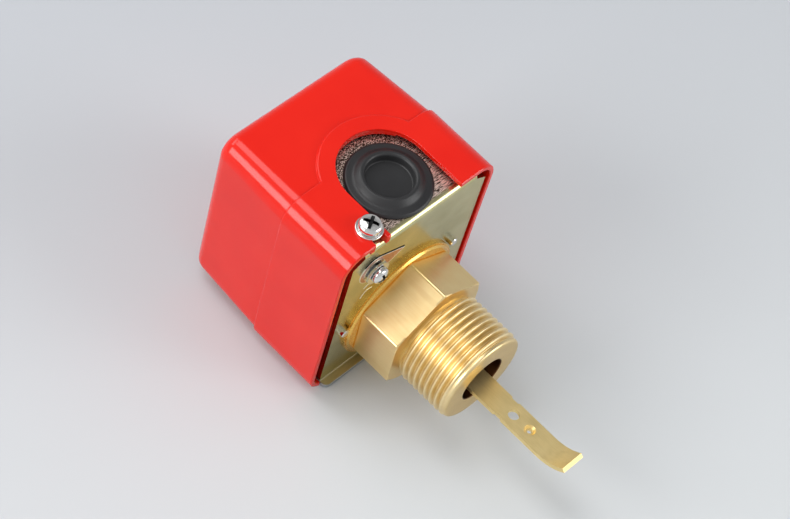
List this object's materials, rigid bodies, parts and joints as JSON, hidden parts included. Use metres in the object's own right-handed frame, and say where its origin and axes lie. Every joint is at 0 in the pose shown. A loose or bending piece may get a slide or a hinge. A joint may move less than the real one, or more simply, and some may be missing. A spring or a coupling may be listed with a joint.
{
  "type": "paddle flow switch",
  "caption": "Paddle flow switch with a two-tier red cover, bent metal base, brass pipe-thread stem and a curled paddle arm.",
  "frame": {"origin": "on the stem axis at the upper end of the full pipe thread, 1.6 mm below the shoulder of the hexagon", "axes": "-Y along the stem towards the pipe thread and the paddle, +Z out of the cable entry, +X to the right when the entry faces up and the thread faces the viewer"},
  "size_m": [0.0656, 0.1356, 0.0768],
  "materials": {
    "passivated_steel": "bright yellow passivate",
    "brass": "turned",
    "golden_ring": "polished",
    "nickel": "nickel plated",
    "bronze": "drawn",
    "rubber": "matte",
    "zinc_steel": "zinc plated",
    "steel": "bright",
    "switch_case": "moulded",
    "silver_brass": "silvered",
    "insulation": "pressed board",
    "arm_brass": "rolled",
    "plunger_plastic": "moulded",
    "red_plastic": "semi-gloss moulded"
  },
  "bodies": {
    "housing": {"base_bracket": "passivated_steel", "stem_body": "brass", "stem_collar": "golden_ring", "stem_lock_nut": "nickel", "bellows": "bronze", "cable_grommet": "rubber", "cover_screw": "nickel", "cover_flat_washer": "nickel", "cover_spring_washer": "nickel", "earth_screw": "nickel", "earth_spring_washer": "nickel", "earth_flat_washers": "nickel", "earth_nut": "brass", "switch_frame": "zinc_steel", "frame_screws": "nickel", "pivot_pin": "steel", "pivot_clip": "steel", "pivot_bushes": "brass", "switch_body": "switch_case", "switch_terminals": "silver_brass", "terminal_clamps": "nickel", "terminal_screws": "nickel", "switch_screws": "nickel", "switch_nuts": "nickel", "insulating_sheet": "insulation", "range_spring": "steel"},
    "lever": {"lever_rod": "brass", "paddle_arm": "arm_brass", "arm_rivets": "brass", "rocker_plate": "zinc_steel", "lever_nut": "nickel"},
    "plunger": {"switch_plunger": "plunger_plastic"},
    "adjuster": {"range_screw": "nickel", "range_clip": "steel"},
    "seat": {"spring_seat": "brass"},
    "cover_body": {"cover": "red_plastic"}
  },
  "joints": [
    {"name": "lever_swing", "type": "hinge", "parent": "housing", "child": "lever", "pos_m": [0, 0.0306, 0], "axis": [-1, 0, 0], "range_deg": [0, 5], "stiffness_Nm_per_rad": 0.58, "springref_deg": -16.62, "deforming": ["range_spring", "bellows"]},
    {"name": "plunger_travel", "type": "slide", "parent": "housing", "child": "plunger", "axis": [0, -1, 0], "range_m": [0, 0.00095]},
    {"name": "range_screw_turn", "type": "hinge", "parent": "housing", "child": "adjuster", "pos_m": [0, 0.0516, 0.0145], "axis": [0, 1, 0], "range_deg": [-1450, 1090]},
    {"name": "spring_seat_travel", "type": "slide", "parent": "housing", "child": "seat", "axis": [0, 1, 0], "range_m": [-0.0021, 0.0028], "deforming": ["range_spring"]},
    {"name": "cover_slide", "type": "slide", "parent": "housing", "child": "cover_body", "axis": [0, 1, 0], "range_m": [0, 0.06]}
  ],
  "couplings": [
    {"joint": "plunger_travel", "follows": "lever_swing", "m_per_rad": 0.0108},
    {"joint": "range_screw_turn", "follows": "spring_seat_travel", "rad_per_m": -8976}
  ]
}
